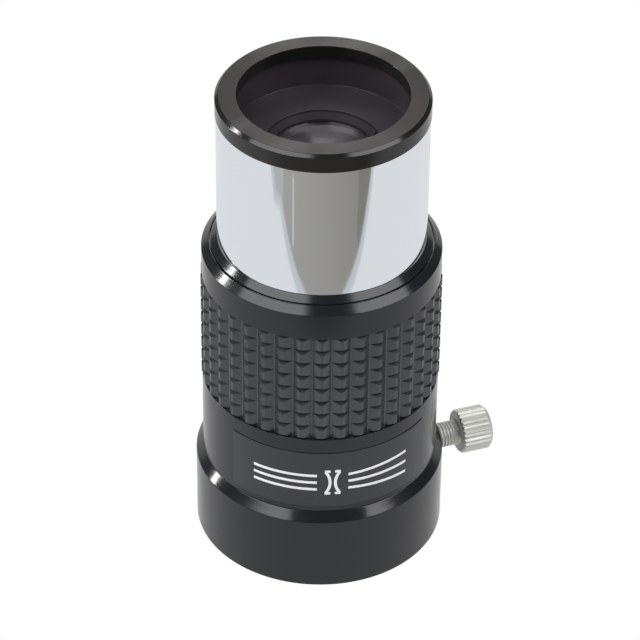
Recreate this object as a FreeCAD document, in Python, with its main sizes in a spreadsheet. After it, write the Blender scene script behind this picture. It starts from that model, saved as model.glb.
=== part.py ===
"""Barlow lens with a 1.25 inch nosepiece: every piece is one document object.

The row frame has its origin at the centre of the eyepiece socket's mouth. +Z runs up the optical
axis to the nose and +X runs out along the thumbscrew. All sizes are in millimetres and degrees.
"""
import FreeCAD
import Part
import os
import re
import Sketcher

SIZES = {
    # Heights of the joints between pieces, from the socket's mouth.
    "holder_wall_z": 12.62,
    "holder_top_z": 14.05,
    "holder_spigot_z": 26.5,
    "socket_depth": 25.0,
    "grip_low_z": 27.95,
    "grip_high_z": 46.8,
    "adapter_low_z": 44.0,
    "barrel_low_z": 45.0,
    "body_edge_z": 51.13,
    "flange_seat_z": 51.8,
    "body_top_z": 52.25,
    "flange_edge_z": 52.33,
    "flange_top_z": 53.27,
    "cell_low_z": 61.3,
    "cell_bore_low_z": 60.9,
    "cell_inner_z": 69.5,
    "cell_floor_z": 70.7,
    "ring_seat_z": 75.05,
    "ring_lip_z": 75.9,
    "nose_z": 78.0,
    # Radii.
    "socket_r": 15.9,
    "holder_r": 19.1,
    "holder_neck_r": 18.0,
    "spigot_r": 16.9,
    "light_r": 14.6,
    "body_r": 18.04,
    "body_top_r": 16.95,
    "flange_recess_r": 16.8,
    "flange_r": 16.65,
    "adapter_r": 16.0,
    "tail_r": 14.9,
    "barrel_r": 15.72,
    "barrel_bore_r": 13.6,
    "cell_r": 14.2,
    "cell_wall_r": 13.45,
    "ring_r": 15.87,
    "ring_hole_r": 12.7,
    "sleeve_bore_r": 17.0,
    "sleeve_tip_r": 18.2,
    "sleeve_valley_r": 17.4,
    # Gaps and edge breaks.
    "thread_gap": 0.05,
    "fit_gap": 0.02,
    "edge": 0.3,
    "ring_edge": 0.5,
    "cutter_lift": 0.03,
    # Grip ridges.
    "ridge_rows": 8,
    "ridge_columns": 38,
    "row_groove_half_width": 0.42,
    "column_valley_r": 17.42,
    "column_valley_half_width": 0.12,
    "column_half_width": 1.36,
    # Name plate wrapped round the lower band.
    "plate_low_z": 15.2,
    "plate_high_z": 25.4,
    "plate_span": 105,
    "plate_azimuth": -103.2,
    "plate_thickness": 0.12,
    # Negative doublet and its shim.
    "lens_r": 8.5,
    "lens_front_z": 67.9,
    "lens_middle_z": 64.6,
    "lens_rear_z": 62.8,
    "front_radius": 24,
    "middle_radius": 50,
    "rear_radius": 90,
    "shim_low_z": 62.52,
    "seat_z": 62.5,
    "seat_r": 7.3,
    "aperture_r": 7.7,
    "retainer_outer_z": 69.2,
    "retainer_inner_z": 68.35,
    "retainer_slot_z": 68.3,
    "retainer_slot_width": 1.0,
    # Thumbscrew.
    "screw_z": 9.1,
    "screw_r": 2.0,
    "screw_hole_r": 2.05,
    "screw_pad_x": 16.1,
    "screw_tip_x": 17.3,
    "screw_end_x": 26.8,
    "screw_pad_r": 1.7,
    "pin_r": 0.8,
    "pin_length": 2.0,
    "head_inner_x": 23.0,
    "head_outer_x": 28.05,
    "head_r": 3.5,
    "head_edge": 0.3,
    "head_crown": 0.6,
    "serrations": 28,
    "serration_depth": 0.22,
    "serration_half_width": 0.34,
}

AXIS = "0"

document = FreeCAD.newDocument("BarlowLens")
sheet = document.addObject("Spreadsheet::Sheet", "Sizes")
for row, (alias, number) in enumerate(SIZES.items(), start=1):
    sheet.set("A" + str(row), alias)
    sheet.set("B" + str(row), str(number))
    sheet.setAlias("B" + str(row), alias)
document.recompute()


def linked(formula):
    """Point each size named in a formula at its cell."""
    return re.sub(r"\b(?!sqrt\b)([a-z]\w*)", r"Sizes.\1", formula)


def value(formula):
    """Return the number that a formula gives now."""
    return float(sheet.evalExpression(linked(formula)))


def new_body(label):
    """Add an empty body named after its piece."""
    body = document.addObject("PartDesign::Body", label)
    body.Label = label
    return body


def new_sketch(body, name, role):
    """Add a sketch on one of the body's own origin planes."""
    planes = [plane for plane in body.Origin.OriginFeatures if plane.Role == role]
    sketch = body.newObject("Sketcher::SketchObject", name)
    sketch.AttachmentSupport = (planes[0], "")
    sketch.MapMode = "FlatFace"
    return sketch


def draw_outline(sketch, corners):
    """Draw a closed outline whose corners are pairs of formulas."""
    places = [FreeCAD.Vector(value(across), value(along), 0) for across, along in corners]
    count = len(places)
    for index in range(count):
        sketch.addGeometry(Part.LineSegment(places[index], places[(index + 1) % count]))
    for index in range(count):
        sketch.addConstraint(Sketcher.Constraint("Coincident", index, 2, (index + 1) % count, 1))
    for index, formulas in enumerate(corners):
        for kind, formula, start in zip(("DistanceX", "DistanceY"), formulas, places[index]):
            if formula == AXIS:
                line = -2 if kind == "DistanceX" else -1
                sketch.addConstraint(Sketcher.Constraint("PointOnObject", index, 1, line))
                continue
            tie = sketch.addConstraint(Sketcher.Constraint(kind, -1, 1, index, 1, start))
            sketch.setExpression("Constraints[" + str(tie) + "]", linked(formula))


def turned(label, corners, about="V_Axis"):
    """Build a piece by turning its outline a full circle."""
    body = new_body(label)
    sketch = new_sketch(body, label + "_outline", "XZ_Plane")
    draw_outline(sketch, corners)
    turn = body.newObject("PartDesign::Revolution", label + "_turn")
    turn.Profile = sketch
    turn.ReferenceAxis = (sketch, [about])
    turn.Angle = 360
    sketch.Visibility = False
    document.recompute()
    return body


def cut_round(body, name, corners, role, count):
    """Cut a straight groove right through a piece and repeat it evenly round the plane's normal."""
    sketch = new_sketch(body, name + "_outline", role)
    draw_outline(sketch, corners)
    pocket = body.newObject("PartDesign::Pocket", name)
    pocket.Profile = sketch
    pocket.Type = "ThroughAll"
    pocket.Midplane = True
    pattern = body.newObject("PartDesign::PolarPattern", name + "_pattern")
    pattern.Originals = [pocket]
    pattern.Axis = (sketch, ["N_Axis"])
    pattern.Angle = 360
    pattern.setExpression("Occurrences", linked(count))
    body.Tip = pattern
    document.recompute()


def primitive(kind, name, **formulas):
    """Add a primitive solid with its sizes tied to the sheet."""
    solid = document.addObject("Part::" + kind, name)
    for key, formula in formulas.items():
        place = "Placement.Base.z" if key == "base" else key
        solid.setExpression(place, linked(formula))
    return solid


def boolean(kind, label, base, tool):
    """Combine two solids into one named object."""
    result = document.addObject("Part::" + kind, label)
    result.Label = label
    result.Base = base
    result.Tool = tool
    return result


def build_eyepiece_holder():
    """Collar that takes the eyepiece, with a spigot that screws into the body."""
    body = turned("eyepiece_holder", [
        ("socket_r", AXIS),
        ("holder_r - edge", AXIS),
        ("holder_r", "edge"),
        ("holder_r", "holder_wall_z"),
        ("holder_neck_r", "holder_top_z"),
        ("spigot_r", "holder_top_z"),
        ("spigot_r", "holder_spigot_z"),
        ("light_r", "holder_spigot_z"),
        ("light_r", "socket_depth"),
        ("socket_r", "socket_depth"),
    ])
    sketch = new_sketch(body, "screw_hole_outline", "YZ_Plane")
    centre = FreeCAD.Vector(0, value("screw_z"), 0)
    normal = FreeCAD.Vector(0, 0, 1)
    sketch.addGeometry(Part.Circle(centre, normal, value("screw_hole_r")))
    sketch.addConstraint(Sketcher.Constraint("PointOnObject", 0, 3, -2))
    height = sketch.addConstraint(Sketcher.Constraint("DistanceY", -1, 1, 0, 3, centre.y))
    sketch.setExpression("Constraints[" + str(height) + "]", linked("screw_z"))
    radius = sketch.addConstraint(Sketcher.Constraint("Radius", 0, value("screw_hole_r")))
    sketch.setExpression("Constraints[" + str(radius) + "]", linked("screw_hole_r"))
    hole = body.newObject("PartDesign::Pocket", "screw_hole")
    hole.Profile = sketch
    hole.Type = "ThroughAll"
    hole.Reversed = True
    document.recompute()
    return body


def build_body_tube():
    """Main tube with a recess for the grip and a female thread at each end."""
    return turned("body_tube", [
        ("spigot_r + thread_gap", "holder_top_z"),
        ("body_r - edge / 2", "holder_top_z"),
        ("body_r", "holder_top_z + edge / 2"),
        ("body_r", "grip_low_z"),
        ("sleeve_bore_r", "grip_low_z"),
        ("sleeve_bore_r", "grip_high_z"),
        ("body_r", "grip_high_z"),
        ("body_r", "body_edge_z"),
        ("body_top_r", "body_top_z"),
        ("flange_recess_r", "body_top_z"),
        ("flange_recess_r", "flange_seat_z"),
        ("adapter_r + thread_gap", "flange_seat_z"),
        ("adapter_r + thread_gap", "adapter_low_z"),
        ("light_r", "adapter_low_z"),
        ("light_r", "holder_spigot_z"),
        ("spigot_r + thread_gap", "holder_spigot_z"),
    ])


def build_front_adapter():
    """Threaded ring that joins the nosepiece to the body and shows as the inner sloping shoulder."""
    return turned("front_adapter", [
        ("tail_r + thread_gap", "adapter_low_z"),
        ("adapter_r", "adapter_low_z"),
        ("adapter_r", "flange_seat_z"),
        ("flange_r", "flange_seat_z"),
        ("flange_r", "flange_edge_z"),
        ("barrel_r", "flange_top_z"),
        ("tail_r + thread_gap", "flange_top_z"),
    ])


def build_nosepiece_barrel():
    """Plated tube that goes into the focuser, threaded outside at the tail and inside at the nose."""
    return turned("nosepiece_barrel", [
        ("barrel_bore_r", "barrel_low_z"),
        ("tail_r", "barrel_low_z"),
        ("tail_r", "flange_top_z"),
        ("barrel_r", "flange_top_z"),
        ("barrel_r", "ring_seat_z - fit_gap"),
        ("cell_r + thread_gap", "ring_seat_z - fit_gap"),
        ("cell_r + thread_gap", "cell_bore_low_z"),
        ("barrel_bore_r", "cell_bore_low_z"),
    ])


def build_nose_ring():
    """End ring with an inner lip that caps the lens cell."""
    return turned("nose_ring", [
        ("cell_r + fit_gap", "ring_seat_z"),
        ("ring_r", "ring_seat_z"),
        ("ring_r", "nose_z - ring_edge"),
        ("ring_r - ring_edge", "nose_z"),
        ("ring_hole_r", "nose_z"),
        ("ring_hole_r", "ring_lip_z"),
        ("cell_r + fit_gap", "ring_lip_z"),
    ])


def build_lens_cell():
    """Cup that screws into the nosepiece, with a sloping floor round the doublet's seat."""
    return turned("lens_cell", [
        ("seat_r", "cell_low_z"),
        ("cell_r", "cell_low_z"),
        ("cell_r", "ring_lip_z"),
        ("cell_wall_r", "ring_lip_z"),
        ("cell_wall_r", "cell_floor_z"),
        ("lens_r + thread_gap", "cell_inner_z"),
        ("lens_r + thread_gap", "seat_z"),
        ("seat_r", "seat_z"),
    ])


def build_lens_retaining_ring():
    """Screwed ring that holds the doublet, with two spanner slots."""
    body = turned("lens_retaining_ring", [
        ("aperture_r", "lens_front_z + fit_gap"),
        ("lens_r", "lens_front_z + fit_gap"),
        ("lens_r", "retainer_outer_z"),
        ("aperture_r", "retainer_inner_z"),
    ])
    sketch = new_sketch(body, "retainer_slot_outline", "XY_Plane")
    sketch.setExpression("AttachmentOffset.Base.z", linked("retainer_slot_z"))
    draw_outline(sketch, [
        ("0 - lens_r - edge", "0 - retainer_slot_width / 2"),
        ("lens_r + edge", "0 - retainer_slot_width / 2"),
        ("lens_r + edge", "retainer_slot_width / 2"),
        ("0 - lens_r - edge", "retainer_slot_width / 2"),
    ])
    slot = body.newObject("PartDesign::Pocket", "retainer_slot")
    slot.Profile = sketch
    slot.Type = "ThroughAll"
    slot.Reversed = True
    document.recompute()
    return body


def build_lens_shim():
    """Thin ring between the doublet's rear rim and its seat."""
    return turned("lens_shim", [
        ("seat_r", "shim_low_z"),
        ("lens_r", "shim_low_z"),
        ("lens_r", "lens_rear_z"),
        ("seat_r", "lens_rear_z"),
    ])


def build_lens_elements():
    """Biconcave front element and meniscus rear element that share their middle surface."""
    front_centre = "lens_front_z + sqrt(front_radius ^ 2 - lens_r ^ 2)"
    middle_centre = "lens_middle_z - sqrt(middle_radius ^ 2 - lens_r ^ 2)"
    rear_centre = "lens_rear_z - sqrt(rear_radius ^ 2 - lens_r ^ 2)"
    front_blank = primitive(
        "Cylinder", "front_blank", Radius="lens_r", base="lens_middle_z",
        Height="lens_front_z - lens_middle_z")
    front_ball = primitive("Sphere", "front_ball", Radius="front_radius", base=front_centre)
    middle_ball = primitive("Sphere", "middle_ball", Radius="middle_radius", base=middle_centre)
    hollowed = boolean("Cut", "front_hollowed", front_blank, front_ball)
    front = boolean("Cut", "front_lens_element", hollowed, middle_ball)
    rear_blank = primitive(
        "Cylinder", "rear_blank", Radius="lens_r", base="lens_rear_z",
        Height="lens_front_z - lens_rear_z")
    rear_ball = primitive("Sphere", "rear_ball", Radius="rear_radius", base=rear_centre)
    domed = document.addObject("Part::MultiCommon", "rear_domed")
    domed.Shapes = [rear_blank, middle_ball]
    rear = boolean("Cut", "rear_lens_element", domed, rear_ball)
    document.recompute()
    return [front, rear]


def build_grip_sleeve():
    """Rubber sleeve moulded with rows of steep, short ridges."""
    rows = SIZES["ridge_rows"]
    pitch = " * (grip_high_z - grip_low_z) / ridge_rows"
    corners = [("sleeve_bore_r + fit_gap", "grip_low_z"), ("sleeve_valley_r", "grip_low_z")]
    for row in range(rows):
        bottom = "grip_low_z + " + str(row) + pitch
        top = "grip_low_z + " + str(row + 1) + pitch
        corners.append(("sleeve_tip_r", bottom + " + row_groove_half_width"))
        corners.append(("sleeve_tip_r", top + " - row_groove_half_width"))
        corners.append(("sleeve_valley_r", top))
    corners.append(("sleeve_bore_r + fit_gap", "grip_high_z"))
    body = turned("grip_sleeve", corners)
    cut_round(body, "column_groove", [
        ("column_valley_r", "0 - column_valley_half_width"),
        ("column_valley_r", "column_valley_half_width"),
        ("sleeve_tip_r + cutter_lift", "column_half_width"),
        ("sleeve_tip_r + edge", "column_half_width"),
        ("sleeve_tip_r + edge", "0 - column_half_width"),
        ("sleeve_tip_r + cutter_lift", "0 - column_half_width"),
    ], "XY_Plane", "ridge_columns")
    return body


def build_name_plate():
    """Thin plate wrapped round part of the lower band."""
    body = turned("name_plate", [
        ("body_r + fit_gap", "plate_low_z"),
        ("body_r + plate_thickness", "plate_low_z"),
        ("body_r + plate_thickness", "plate_high_z"),
        ("body_r + fit_gap", "plate_high_z"),
    ])
    turn = document.getObject("name_plate_turn")
    turn.Midplane = True
    turn.setExpression("Angle", linked("plate_span"))
    body.Placement.Rotation = FreeCAD.Rotation(FreeCAD.Vector(0, 0, 1), SIZES["plate_azimuth"])
    document.recompute()
    return body


def build_thumbscrew():
    """Serrated head, threaded stud and soft tip of the locking screw."""
    head = turned("thumbscrew_head", [
        ("head_inner_x", "screw_r + fit_gap"),
        ("head_inner_x", "head_r - head_edge"),
        ("head_inner_x + head_edge", "head_r"),
        ("head_outer_x - head_crown", "head_r"),
        ("head_outer_x", "head_r - head_crown"),
        ("head_outer_x", AXIS),
        ("screw_end_x", AXIS),
        ("screw_end_x", "screw_r + fit_gap"),
    ], "H_Axis")
    cut_round(head, "serration", [
        ("head_r - serration_depth", AXIS),
        ("head_r + cutter_lift", "serration_half_width"),
        ("head_r + edge", "serration_half_width"),
        ("head_r + edge", "0 - serration_half_width"),
        ("head_r + cutter_lift", "0 - serration_half_width"),
    ], "YZ_Plane", "serrations")
    stud = turned("thumbscrew_stud", [
        ("screw_tip_x", "pin_r + thread_gap"),
        ("screw_tip_x", "screw_r - edge"),
        ("screw_tip_x + edge", "screw_r"),
        ("screw_end_x", "screw_r"),
        ("screw_end_x", AXIS),
        ("screw_tip_x + pin_length", AXIS),
        ("screw_tip_x + pin_length", "pin_r + thread_gap"),
    ], "H_Axis")
    pad = turned("screw_tip_pad", [
        ("screw_pad_x", AXIS),
        ("screw_pad_x", "screw_pad_r"),
        ("screw_tip_x - fit_gap", "screw_pad_r"),
        ("screw_tip_x - fit_gap", "pin_r"),
        ("screw_tip_x + pin_length - edge", "pin_r"),
        ("screw_tip_x + pin_length - edge", AXIS),
    ], "H_Axis")
    pieces = [head, stud, pad]
    for piece in pieces:
        piece.setExpression("Placement.Base.z", linked("screw_z"))
    document.recompute()
    return pieces


nodes = [
    build_eyepiece_holder(),
    build_body_tube(),
    build_front_adapter(),
    build_nosepiece_barrel(),
    build_nose_ring(),
    build_lens_cell(),
    build_lens_retaining_ring(),
    build_lens_shim(),
    build_grip_sleeve(),
    build_name_plate(),
]
nodes += build_lens_elements()
nodes += build_thumbscrew()
document.recompute()

for item in document.Objects:
    if {"Invalid", "Error"} & set(item.State):
        raise RuntimeError(item.Name + " did not build")

os.makedirs("parts", exist_ok=True)
for node in nodes:
    shape = node.Shape
    if shape.isNull() or not shape.isValid() or len(shape.Solids) != 1:
        raise RuntimeError(node.Label + " is not one sound solid")
    shape.exportStep("parts/" + node.Label + ".step")
    print(node.Label, "written,", round(shape.Volume), "cubic millimetres")
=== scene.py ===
"""Looks for the barlow lens: turned pieces, a threaded stud, a printed mark, finishes and light.

The row frame is in metres: +Z up the optical axis, +X out along the thumbscrew.
"""
from collections import Counter
import math

import bmesh
import bpy
from mathutils import Matrix, Vector


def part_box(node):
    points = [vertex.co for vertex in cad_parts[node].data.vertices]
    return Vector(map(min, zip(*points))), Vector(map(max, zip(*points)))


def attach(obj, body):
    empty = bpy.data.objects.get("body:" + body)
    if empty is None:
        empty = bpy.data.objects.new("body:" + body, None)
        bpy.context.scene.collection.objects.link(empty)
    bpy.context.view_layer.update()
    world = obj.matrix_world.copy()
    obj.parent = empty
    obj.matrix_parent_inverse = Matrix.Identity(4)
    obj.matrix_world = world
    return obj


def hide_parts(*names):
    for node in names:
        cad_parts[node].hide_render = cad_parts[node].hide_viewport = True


MM = 0.001
FIT_GAP = 0.05 * MM
WHITE = (1.0, 1.0, 1.0)

# Turned meshes. The outline's sizes are in mm.
TURN_STEPS = 256
RING_VERTICES = 20
EDGE_ROUND = 0.055
EDGE_SHARE = 0.45
EDGE_STEPS = 3
GUARD = 0.03
GUARD_ROOM = 3 * GUARD
WELD = 1e-7
FLAT_TOP = 0.99
CUTTER_SIDES = 64
CUTTER_LENGTH = 8 * MM

# Camera, in degrees and metres. Azimuth and elevation place it about the optical axis.
CAMERA_AZIMUTH = -19.74
CAMERA_ELEVATION = 37.237
CAMERA_ROLL = 0.662
CAMERA_DISTANCE = 560.2 * MM
CAMERA_TARGET = Vector((-0.122 * MM, 0.044 * MM, 36.824 * MM))
CAMERA_LENS = 207.69
CAMERA_SENSOR = 36.0
CLIP_START = 0.01
CLIP_END = 20.0

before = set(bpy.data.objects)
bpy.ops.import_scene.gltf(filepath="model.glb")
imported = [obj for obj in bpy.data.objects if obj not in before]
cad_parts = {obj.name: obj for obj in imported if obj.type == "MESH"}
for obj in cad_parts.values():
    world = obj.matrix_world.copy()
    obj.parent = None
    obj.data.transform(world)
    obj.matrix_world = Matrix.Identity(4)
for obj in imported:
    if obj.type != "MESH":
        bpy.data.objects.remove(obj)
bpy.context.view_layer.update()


def node_points(name):
    """Give the places of a CAD node's vertices in the row frame."""
    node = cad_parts[name]
    return [node.matrix_world @ vertex.co for vertex in node.data.vertices]


def turned_outline(name):
    """Read a turned node's closed outline of (radius, height) corners, in mm, from its rings."""
    corners = []
    for spot in node_points(name):
        radius = math.hypot(spot.x, spot.y)
        corners.append((round(radius / MM, 2), round(spot.z / MM, 2)))
    rings = {corner for corner, count in Counter(corners).items() if count >= RING_VERTICES}
    links = {corner: set() for corner in rings}
    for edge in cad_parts[name].data.edges:
        first, second = (corners[index] for index in edge.vertices)
        if first != second and {first, second} <= rings:
            links[first].add(second)
            links[second].add(first)
    outline = [min(rings)]
    while len(outline) < len(rings):
        outline.append(min(links[outline[-1]].difference(outline)))
    return outline


stud_low, stud_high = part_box("thumbscrew_stud")
STUD_START = stud_low.x + FIT_GAP
STUD_END = stud_high.x - FIT_GAP
STUD_R = stud_high.y
SCREW_Z = (stud_low.z + stud_high.z) / 2
SCREW_HOLE_R = STUD_R + FIT_GAP


def finish_mesh(name, mesh, smooth_angle=35.0):
    """Clean the normals of a bmesh, shade it smooth under an angle and add it to the scene."""
    bmesh.ops.recalc_face_normals(mesh, faces=mesh.faces)
    limit = math.radians(smooth_angle)
    for face in mesh.faces:
        face.smooth = True
    for edge in mesh.edges:
        edge.smooth = len(edge.link_faces) == 2 and edge.calc_face_angle(0.0) < limit
    data = bpy.data.meshes.new(name)
    mesh.to_mesh(data)
    mesh.free()
    piece = bpy.data.objects.new(name, data)
    bpy.context.scene.collection.objects.link(piece)
    return piece


def rounded(corners, radius):
    """Round every corner of a closed outline, with guard points that keep the walls straight."""
    points = []
    count = len(corners)
    for index, corner in enumerate(corners):
        here = Vector(corner)
        back = Vector(corners[index - 1]) - here
        ahead = Vector(corners[(index + 1) % count]) - here
        reach = min(radius, back.length * EDGE_SHARE, ahead.length * EDGE_SHARE)
        room = 2 * reach + GUARD_ROOM
        start = here + back.normalized() * reach
        end = here + ahead.normalized() * reach
        if back.length > room:
            points.append(start + back.normalized() * GUARD)
        for step in range(EDGE_STEPS + 1):
            t = step / EDGE_STEPS
            points.append(start * (1 - t) ** 2 + here * (2 * t * (1 - t)) + end * t ** 2)
        if ahead.length > room:
            points.append(end + ahead.normalized() * GUARD)
    return points


def drill_for_screw(piece):
    """Bore the thumbscrew's radial hole through one wall."""
    mesh = bmesh.new()
    along_x = Matrix.Rotation(math.pi / 2, 4, "Y")
    bmesh.ops.create_cone(mesh, cap_ends=True, segments=CUTTER_SIDES, radius1=SCREW_HOLE_R,
                          radius2=SCREW_HOLE_R, depth=CUTTER_LENGTH, matrix=along_x)
    cutter = finish_mesh("screw_hole_cutter", mesh)
    cutter.location = (STUD_START, 0, SCREW_Z)
    bpy.context.view_layer.update()
    bore = piece.modifiers.new("bore", "BOOLEAN")
    bore.operation = "DIFFERENCE"
    bore.solver = "EXACT"
    bore.object = cutter
    view = bpy.context.evaluated_depsgraph_get()
    bored = bpy.data.meshes.new_from_object(piece.evaluated_get(view))
    piece.modifiers.clear()
    bored.name = piece.data.name + "_bored"
    piece.data = bored
    bpy.data.objects.remove(cutter)


def lathe(name, outline):
    """Turn a closed outline of (radius, height) points, in mm, about the optical axis."""
    mesh = bmesh.new()
    rings = []
    for step in range(TURN_STEPS):
        angle = math.tau * step / TURN_STEPS
        x = math.cos(angle)
        y = math.sin(angle)
        rings.append([mesh.verts.new((p.x * x * MM, p.x * y * MM, p.y * MM)) for p in outline])
    for index, ring in enumerate(rings):
        following = rings[(index + 1) % TURN_STEPS]
        for spot in range(len(outline)):
            after = (spot + 1) % len(outline)
            if outline[spot].x or outline[after].x:
                mesh.faces.new((ring[spot], following[spot], following[after], ring[after]))
    bmesh.ops.remove_doubles(mesh, verts=mesh.verts, dist=WELD)
    return finish_mesh(name, mesh)


# ---------------------------------------------------------------- finishes

NOISE_LOW = 0.3
NOISE_HIGH = 0.7
CLOUD_SCALE = 220.0
GLASS_CLOUD_SCALE = 300.0
GRAIN_HEIGHT = 0.05 * MM
MARKS_HEIGHT = 0.02 * MM
MARKS_SCALE = 60.0
MARKS_DETAIL = 6.0
MARKS_STRETCH = (0.02, 0.02, 90.0)
QUARTER_TURN = 0.25


def new_finish(name):
    """Start a node material and return it with its tree and shader."""
    material = bpy.data.materials.new(name)
    material.use_nodes = True
    return material, material.node_tree, material.node_tree.nodes["Principled BSDF"]


def add_noise(tree, scale, detail=4.0, stretch=(1.0, 1.0, 1.0)):
    """Add a noise texture in object space and return its value."""
    place = tree.nodes.new("ShaderNodeTexCoord")
    mapping = tree.nodes.new("ShaderNodeMapping")
    mapping.inputs["Scale"].default_value = stretch
    texture = tree.nodes.new("ShaderNodeTexNoise")
    texture.inputs["Scale"].default_value = scale
    texture.inputs["Detail"].default_value = detail
    tree.links.new(place.outputs["Object"], mapping.inputs["Vector"])
    tree.links.new(mapping.outputs["Vector"], texture.inputs["Vector"])
    return texture.outputs["Fac"]


def vary_roughness(tree, shader, source, rough):
    """Map the middle of a texture's values onto the shader's range of roughness."""
    remap = tree.nodes.new("ShaderNodeMapRange")
    remap.inputs["From Min"].default_value = NOISE_LOW
    remap.inputs["From Max"].default_value = NOISE_HIGH
    remap.inputs["To Min"].default_value = rough[0]
    remap.inputs["To Max"].default_value = rough[1]
    tree.links.new(source, remap.inputs["Value"])
    tree.links.new(remap.outputs["Result"], shader.inputs["Roughness"])


def add_bump(tree, shader, source, strength, distance):
    """Feed a texture value to the shader's normal."""
    bump = tree.nodes.new("ShaderNodeBump")
    bump.inputs["Strength"].default_value = strength
    bump.inputs["Distance"].default_value = distance
    tree.links.new(source, bump.inputs["Height"])
    tree.links.new(bump.outputs["Normal"], shader.inputs["Normal"])


def brush_round(tree, shader, amount):
    """Stretch the shader's highlights as if it were brushed round the optical axis."""
    shader.inputs["Anisotropic"].default_value = amount
    shader.inputs["Anisotropic Rotation"].default_value = QUARTER_TURN
    tangent = tree.nodes.new("ShaderNodeTangent")
    tangent.direction_type = "RADIAL"
    tangent.axis = "Z"
    tree.links.new(tangent.outputs["Tangent"], shader.inputs["Tangent"])


def surface(name, color, rough, metal=0.0, specular=0.5, grain=900.0, grain_depth=0.0,
            turned=0.0, brushed=0.0):
    """Make a finish of slightly varied roughness, with a grain, turning marks or a brushed sheen."""
    material, tree, shader = new_finish(name)
    if brushed:
        brush_round(tree, shader, brushed)
    shader.inputs["Base Color"].default_value = (*color, 1.0)
    shader.inputs["Metallic"].default_value = metal
    shader.inputs["Specular IOR Level"].default_value = specular
    vary_roughness(tree, shader, add_noise(tree, CLOUD_SCALE), rough)
    if grain_depth:
        add_bump(tree, shader, add_noise(tree, grain), grain_depth, GRAIN_HEIGHT)
    if turned:
        marks = add_noise(tree, MARKS_SCALE, MARKS_DETAIL, MARKS_STRETCH)
        add_bump(tree, shader, marks, turned, MARKS_HEIGHT)
    return material


def lens_glass():
    """Make the finish of the coated, slightly hazy lens elements."""
    material, tree, shader = new_finish("coated_glass")
    shader.inputs["Base Color"].default_value = (0.31, 0.28, 0.31, 1.0)
    shader.inputs["Transmission Weight"].default_value = 0.9
    shader.inputs["IOR"].default_value = 1.5
    shader.inputs["Specular IOR Level"].default_value = 0.15
    vary_roughness(tree, shader, add_noise(tree, GLASS_CLOUD_SCALE), (0.14, 0.18))
    return material


black = surface("black_anodised", (0.0095, 0.011, 0.0135), (0.12, 0.17), specular=0.45, turned=0.06)
ring_black = surface("ring_edge_black", (0.0095, 0.0095, 0.009), (0.12, 0.17), specular=0.45,
                     turned=0.06)
glossy_black = surface("brushed_black", (0.011, 0.008, 0.006), (0.36, 0.42), turned=0.04,
                       brushed=1.0)
inner_black = surface("cell_black", (0.034, 0.027, 0.033), (0.3, 0.4), turned=0.2)
dull_black = surface("retainer_black", (0.03, 0.024, 0.029), (0.6, 0.7), specular=0.2, turned=0.2)
chrome = surface("chrome_plate", (0.87, 0.91, 0.95), (0.04, 0.06), metal=1.0)
rubber = surface("grip_rubber", (0.026, 0.0285, 0.0315), (0.2, 0.3), specular=0.75,
                 grain=3000.0, grain_depth=0.06)
plate = surface("plate_film", (0.022, 0.0245, 0.029), (0.26, 0.32), grain=2500.0, grain_depth=0.04)
ink = surface("white_ink", (0.82, 0.82, 0.83), (0.45, 0.55))
aluminium = surface("bare_aluminium", (0.7, 0.705, 0.67), (0.52, 0.64), metal=1.0,
                    grain_depth=0.05)
steel = surface("screw_steel", (0.74, 0.74, 0.7), (0.45, 0.55), metal=1.0)
brass = surface("shim_brass", (0.6, 0.45, 0.2), (0.3, 0.4), metal=1.0)
nylon = surface("tip_nylon", (0.8, 0.8, 0.76), (0.4, 0.5))
glass = lens_glass()


def dress(piece, material):
    """Give a piece one finish."""
    piece.data.materials.clear()
    piece.data.materials.append(material)


def face_top(piece, material):
    """Give the flat tops of a turned piece a second finish."""
    piece.data.materials.append(material)
    for face in piece.data.polygons:
        if face.normal.z > FLAT_TOP:
            face.material_index = 1


# ---------------------------------------------------------------- turned pieces

TURNED = {
    "nosepiece_barrel": ("tube", "chrome_plate", chrome),
    "nose_ring": ("cell", "black_anodised", ring_black),
    "lens_cell": ("cell", "matt_black", inner_black),
    "front_adapter": ("tube", "black_anodised", black),
    "body_tube": ("tube", "black_anodised", black),
    "eyepiece_holder": ("tube", "black_anodised", black),
}
for node, (body, slot_name, material) in TURNED.items():
    piece = lathe(node + "_turned", rounded(turned_outline(node), EDGE_ROUND))
    if node == "eyepiece_holder":
        drill_for_screw(piece)
    dress(piece, material)
    if node == "nose_ring":
        face_top(piece, glossy_black)
    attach(piece, body)
    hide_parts(node)

# ---------------------------------------------------------------- lens elements, in mm

FRONT_CURVE_R = 24.0
MIDDLE_CURVE_R = 50.0
REAR_CURVE_R = 90.0
LENS_STEPS = 24
CEMENT_GAP = 0.01
front_low, front_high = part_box("front_lens_element")
rear_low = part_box("rear_lens_element")[0]
LENS_R = front_high.x / MM


def lens_surface(rim_z, curve_r, side):
    """Points of a spherical surface from axis to rim, bulging up for side 1 and down for side -1."""
    rim_rise = math.sqrt(curve_r ** 2 - LENS_R ** 2)
    points = []
    for step in range(LENS_STEPS + 1):
        across = LENS_R * step / LENS_STEPS
        rise = math.sqrt(curve_r ** 2 - across ** 2) - rim_rise
        points.append(Vector((across, rim_z + side * rise)))
    return points


front_face = lens_surface(front_high.z / MM, FRONT_CURVE_R, -1)
middle_face = lens_surface(front_low.z / MM, MIDDLE_CURVE_R, 1)
cemented_face = lens_surface(front_low.z / MM - CEMENT_GAP, MIDDLE_CURVE_R, 1)
rear_face = lens_surface(rear_low.z / MM, REAR_CURVE_R, 1)
ELEMENTS = {
    "front_lens_element": front_face + middle_face[::-1],
    "rear_lens_element": cemented_face + rear_face[::-1],
}
for node, outline in ELEMENTS.items():
    piece = lathe(node + "_polished", outline)
    dress(piece, glass)
    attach(piece, "doublet")
    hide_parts(node)

# ---------------------------------------------------------------- threaded stud

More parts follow.
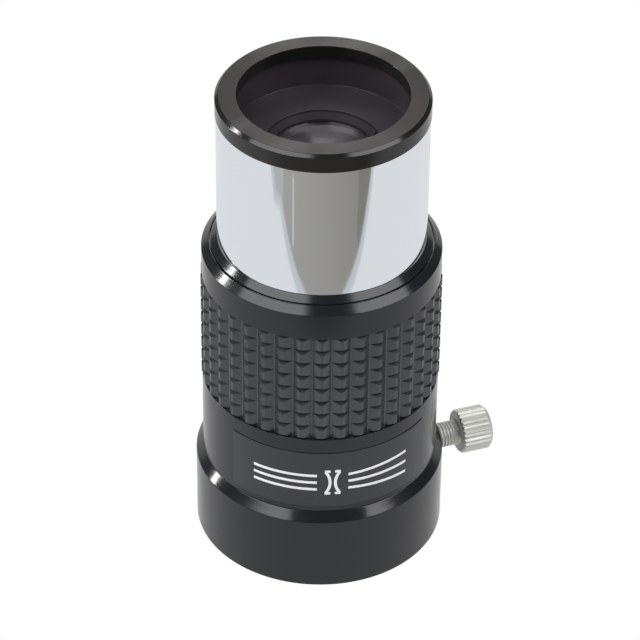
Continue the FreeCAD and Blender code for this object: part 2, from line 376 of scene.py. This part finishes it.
THREAD_PITCH = 0.5 * MM
THREAD_DEPTH = 0.28 * MM
THREAD_ROWS = 6
THREAD_AROUND = 40
CREST_SHARE = 1.25
THREAD_SMOOTH = 60.0


def threaded_stud():
    """Turn the stud with a helical ridge along it."""
    rows = int((STUD_END - STUD_START) / THREAD_PITCH * THREAD_ROWS)
    mesh = bmesh.new()
    rings = []
    for row in range(rows + 1):
        x = STUD_START + (STUD_END - STUD_START) * row / rows
        ring = []
        for step in range(THREAD_AROUND):
            share = step / THREAD_AROUND
            phase = (x / THREAD_PITCH - share) % 1.0
            height = 1.0 - abs(phase * 2.0 - 1.0)
            radius = STUD_R - THREAD_DEPTH * max(0.0, 1.0 - height * CREST_SHARE)
            y = radius * math.cos(math.tau * share)
            z = radius * math.sin(math.tau * share) + SCREW_Z
            ring.append(mesh.verts.new((x, y, z)))
        rings.append(ring)
    for first, second in zip(rings, rings[1:]):
        for step in range(THREAD_AROUND):
            after = (step + 1) % THREAD_AROUND
            mesh.faces.new((first[step], first[after], second[after], second[step]))
    mesh.faces.new(rings[0])
    mesh.faces.new(list(reversed(rings[-1])))
    return finish_mesh("thumbscrew_stud_thread", mesh, THREAD_SMOOTH)


stud = threaded_stud()
dress(stud, steel)
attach(stud, "thumbscrew")
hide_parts("thumbscrew_stud")

# ---------------------------------------------------------------- printed mark, in mm

INK_DEPTH = 0.03
STROKE = 0.45
TOUCHING = 0.001
LENS_ARC_R = 3.3
LENS_ARC_OFFSET = 3.7
LENS_ARC_HALF = 40
RAY_NEAR = 2.4
RAY_FAR = 12.5
RAY_GAP = 1.3
RAY_SPREAD = 1.5
MARK_DROP = 0.45
plate_points = node_points("name_plate")
plate_x = sum(spot.x for spot in plate_points)
plate_y = sum(spot.y for spot in plate_points)
PLATE_AZIMUTH = math.atan2(plate_y, plate_x)
INK_INNER_R = max(math.hypot(spot.x, spot.y) for spot in plate_points) / MM
INK_OUTER_R = INK_INNER_R + INK_DEPTH
plate_low, plate_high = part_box("name_plate")
MARK_Z = (plate_low.z + plate_high.z) / 2 / MM - MARK_DROP


def printed_stroke(name, points):
    """Lay a thin inked stroke along points of (arc from the plate's centre, height)."""
    mesh = bmesh.new()
    sections = []
    closed = (Vector(points[0]) - Vector(points[-1])).length < TOUCHING
    if closed:
        points = points[:-1]
    count = len(points)
    for index in range(count):
        here = Vector(points[index])
        before = Vector(points[index - 1]) if closed or index else here
        after = Vector(points[(index + 1) % count]) if closed or index < count - 1 else here
        way = (after - before).normalized()
        side = Vector((-way.y, way.x)) * STROKE / 2
        corners = []
        for spot, radius in ((here - side, INK_INNER_R), (here + side, INK_INNER_R),
                             (here + side, INK_OUTER_R), (here - side, INK_OUTER_R)):
            angle = PLATE_AZIMUTH + spot.x / INK_OUTER_R
            corners.append(mesh.verts.new((radius * math.cos(angle) * MM,
                                           radius * math.sin(angle) * MM, spot.y * MM)))
        sections.append(corners)
    pairs = list(zip(sections, sections[1:]))
    if closed:
        pairs.append((sections[-1], sections[0]))
    for first, second in pairs:
        for corner in range(4):
            after = (corner + 1) % 4
            mesh.faces.new((first[corner], first[after], second[after], second[corner]))
    if not closed:
        mesh.faces.new(sections[0])
        mesh.faces.new(list(reversed(sections[-1])))
    piece = finish_mesh(name, mesh)
    dress(piece, ink)
    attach(piece, "tube")


def line(start, end, pieces=16):
    """Points along a straight stroke, close enough together to bend round the plate."""
    return [(start[0] + (end[0] - start[0]) * i / pieces,
             start[1] + (end[1] - start[1]) * i / pieces) for i in range(pieces + 1)]


def arc(centre, radius, first, last, pieces=24):
    """Points along a circular stroke between two angles in degrees."""
    found = []
    for i in range(pieces + 1):
        angle = math.radians(first + (last - first) * i / pieces)
        found.append((centre[0] + radius * math.cos(angle), centre[1] + radius * math.sin(angle)))
    return found


lens_left = arc((-LENS_ARC_OFFSET, MARK_Z), LENS_ARC_R, -LENS_ARC_HALF, LENS_ARC_HALF)
lens_right = arc((LENS_ARC_OFFSET, MARK_Z), LENS_ARC_R, 180 - LENS_ARC_HALF, 180 + LENS_ARC_HALF)
printed_stroke("mark_lens", lens_left + lens_right + [lens_left[0]])
for name, side in (("low", -1), ("middle", 0), ("high", 1)):
    height = MARK_Z + side * RAY_GAP
    spread_height = MARK_Z + side * RAY_GAP * RAY_SPREAD
    printed_stroke("mark_in_" + name, line((-RAY_FAR, height), (-RAY_NEAR, height)))
    printed_stroke("mark_out_" + name, line((RAY_NEAR, height), (RAY_FAR, spread_height)))

# ---------------------------------------------------------------- CAD nodes shown as they are

SHOWN = {
    "grip_sleeve": rubber,
    "name_plate": plate,
    "lens_retaining_ring": dull_black,
    "lens_shim": brass,
    "thumbscrew_head": aluminium,
    "screw_tip_pad": nylon,
}
for node, material in SHOWN.items():
    dress(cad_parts[node], material)

# ---------------------------------------------------------------- floor, light and camera

SHEET_HALF = 0.5
ROUND_SIDES = 48
PANEL_DISTANCE = 0.9
PANEL_AIM = Vector((0, 0, 0.04))
FLOOR_SIZE = (6, 6)
FLOOR_DROP = 0.2 * MM
FLOOR_GLOW = 1.0
BACKDROP_GLOW = 1.0
ROOM_COLOR = (0.97, 0.985, 1.0)
ROOM_GLOW = 0.12


def sheet(name, size, place, round_sheet=False):
    """Add a flat rectangle or ellipse that belongs to the stage."""
    mesh = bmesh.new()
    if round_sheet:
        bmesh.ops.create_circle(mesh, cap_ends=True, segments=ROUND_SIDES, radius=SHEET_HALF)
    else:
        bmesh.ops.create_grid(mesh, x_segments=1, y_segments=1, size=SHEET_HALF)
    piece = finish_mesh(name, mesh)
    piece.scale = (size[0], size[1], 1)
    piece.location = place
    return piece


def glow(name, color, strength):
    """Make a plain emitting finish."""
    material = bpy.data.materials.new(name)
    material.use_nodes = True
    tree = material.node_tree
    tree.nodes.clear()
    light = tree.nodes.new("ShaderNodeEmission")
    light.inputs["Color"].default_value = (*color, 1.0)
    light.inputs["Strength"].default_value = strength
    out = tree.nodes.new("ShaderNodeOutputMaterial")
    tree.links.new(light.outputs["Emission"], out.inputs["Surface"])
    return material


def toward(azimuth, elevation, distance):
    """Point at a distance in the direction of two angles in degrees.

    Azimuth 0 is the camera's side and + is its right.
    """
    around = math.radians(CAMERA_AZIMUTH) + math.radians(azimuth)
    up = math.radians(elevation)
    return Vector((math.sin(around) * math.cos(up), -math.cos(around) * math.cos(up),
                   math.sin(up))) * distance


def panel(name, azimuth, elevation, size, strength, round_sheet=False):
    """Add a glowing sheet that faces the object and that the camera doesn't see."""
    place = toward(azimuth, elevation, PANEL_DISTANCE) + PANEL_AIM
    piece = sheet(name, size, place, round_sheet)
    piece.rotation_mode = "QUATERNION"
    piece.rotation_quaternion = (PANEL_AIM - place).to_track_quat("Z", "Y")
    dress(piece, glow(name + "_glow", WHITE, strength))
    piece.visible_camera = False


# A patch's glow is painted floor light and shade that the chrome and the glossy black reflect.
def patch(name, height, color, strength, corners):
    """Lay a glowing patch on the floor that the camera and diffuse rays don't see.

    The height is in mm, and so are the corners: (right, toward the camera).
    """
    mesh = bmesh.new()
    points = [mesh.verts.new((right * MM, -near * MM, height * MM)) for right, near in corners]
    mesh.faces.new(points)
    piece = finish_mesh(name, mesh)
    piece.rotation_euler.z = math.radians(CAMERA_AZIMUTH)
    dress(piece, glow(name + "_glow", color, strength))
    piece.visible_camera = False
    piece.visible_diffuse = False
    return piece


def fade(piece, left, right, reach):
    """Let a patch's glow run from a strength on its left to another on its right."""
    tree = piece.data.materials[0].node_tree
    place = tree.nodes.new("ShaderNodeTexCoord")
    split = tree.nodes.new("ShaderNodeSeparateXYZ")
    ramp = tree.nodes.new("ShaderNodeMapRange")
    ramp.inputs["From Min"].default_value = -reach
    ramp.inputs["From Max"].default_value = reach
    ramp.inputs["To Min"].default_value = left
    ramp.inputs["To Max"].default_value = right
    tree.links.new(place.outputs["Object"], split.inputs["Vector"])
    tree.links.new(split.outputs["X"], ramp.inputs["Value"])
    tree.links.new(ramp.outputs["Result"], tree.nodes["Emission"].inputs["Strength"])


def studio_world():
    """Show a white backdrop to the camera and a dim room to every other ray."""
    world = bpy.data.worlds.new("studio")
    world.use_nodes = True
    tree = world.node_tree
    backdrop = tree.nodes["Background"]
    backdrop.inputs["Color"].default_value = (*WHITE, 1.0)
    backdrop.inputs["Strength"].default_value = BACKDROP_GLOW
    room = tree.nodes.new("ShaderNodeBackground")
    room.inputs["Color"].default_value = (*ROOM_COLOR, 1.0)
    room.inputs["Strength"].default_value = ROOM_GLOW
    seen = tree.nodes.new("ShaderNodeLightPath")
    blend = tree.nodes.new("ShaderNodeMixShader")
    tree.links.new(seen.outputs["Is Camera Ray"], blend.inputs["Fac"])
    tree.links.new(room.outputs["Background"], blend.inputs[1])
    tree.links.new(backdrop.outputs["Background"], blend.inputs[2])
    tree.links.new(blend.outputs["Shader"], tree.nodes["World Output"].inputs["Surface"])
    bpy.context.scene.world = world


# Patches: height in mm, color, strength, then the corners. They paint the floor's light and shade
# and a glint, hidden from the camera; the chrome and the glossy black show their edges as bands.
FAR = 400
FRONT_END = 500
FLOOR_HALF = 3000
EDGE_STEP = 4.5
FRONT_EDGE = [(-FAR, 76.5), (-84, 76.5), (-75, 84.5), (-32, 84), (0, 82), (40, 80),
              (62, 77.5), (FAR, 78)]
SOFT_EDGE = [(right, near - EDGE_STEP) for right, near in FRONT_EDGE]
FRONT_CORNERS = [(FAR, FRONT_END), (-FAR, FRONT_END)]
WARM = (1.0, 0.95, 0.88)
COOL = (0.98, 1.0, 1.0)
IVORY = (0.96, 0.965, 0.91)
FADE_LEFT = 0.385
FADE_RIGHT = 0.28
FADE_REACH = 70 * MM
PATCHES = {
    "painted_floor_shade": (0.1, WHITE, 0.77, [(-FLOOR_HALF, -FLOOR_HALF), (FLOOR_HALF, -FLOOR_HALF),
                                      (FLOOR_HALF, FLOOR_HALF), (-FLOOR_HALF, FLOOR_HALF)]),
    "painted_half_shade": (0.3, COOL, 0.58, SOFT_EDGE + FRONT_CORNERS),
    "painted_front_shade": (0.6, WARM, FADE_LEFT, FRONT_EDGE + FRONT_CORNERS),
    "left_band": (0.7, IVORY, 0.477, [(-84, 76.5), (-74, 84.5), (-72, 88), (-100, 117),
                                      (-300, 117), (-300, 76.5)]),
    "right_edge": (0.8, WARM, 0.223, [(57, 78), (130, 78), (130, 115), (82, 115),
                                      (68, 91.5), (60, 86)]),
    "glint": (0.9, WHITE, 0.6, [(-48.4, 86.2), (-46.2, 87.4), (-57.6, 105), (-60, 103.8)]),
}
# Panels: azimuth and elevation in degrees, size in metres, then the strength.
PANELS = {
    "left_panel": (-54, 44, (0.8, 0.6), 4.3),
    "left_lamp": (-102, 20, (0.07, 0.4), 40.0),
    "right_panel": (66, 42, (0.64, 0.6), 4.3),
    "back_panel": (180, 48, (0.16, 1.1), 4.6),
    "top_panel": (192, 68, (0.46, 0.46), 1.5),
}
ROUND_PANEL = "top_panel"

floor = sheet("floor", FLOOR_SIZE, (0, 0, -FLOOR_DROP))
dress(floor, glow("pale_floor", WHITE, FLOOR_GLOW))
patches = {name: patch(name, *details) for name, details in PATCHES.items()}
# The front patch's painted shade is lighter on its left than on its right.
fade(patches["painted_front_shade"], FADE_LEFT, FADE_RIGHT, FADE_REACH)
for name, details in PANELS.items():
    panel(name, *details, round_sheet=name == ROUND_PANEL)
studio_world()

eye = bpy.data.cameras.new("photo_camera")
eye.sensor_width = CAMERA_SENSOR
eye.lens = CAMERA_LENS
eye.clip_start = CLIP_START
eye.clip_end = CLIP_END
camera = bpy.data.objects.new("photo_camera", eye)
bpy.context.scene.collection.objects.link(camera)
back = toward(0, CAMERA_ELEVATION, 1.0)
level = (-back).to_track_quat("-Z", "Y")
roll = Matrix.Rotation(math.radians(CAMERA_ROLL), 3, "Z").to_quaternion()
camera.location = CAMERA_TARGET + back * CAMERA_DISTANCE
camera.rotation_mode = "QUATERNION"
camera.rotation_quaternion = level @ roll
bpy.context.scene.camera = camera
bpy.context.scene.view_settings.view_transform = "Standard"
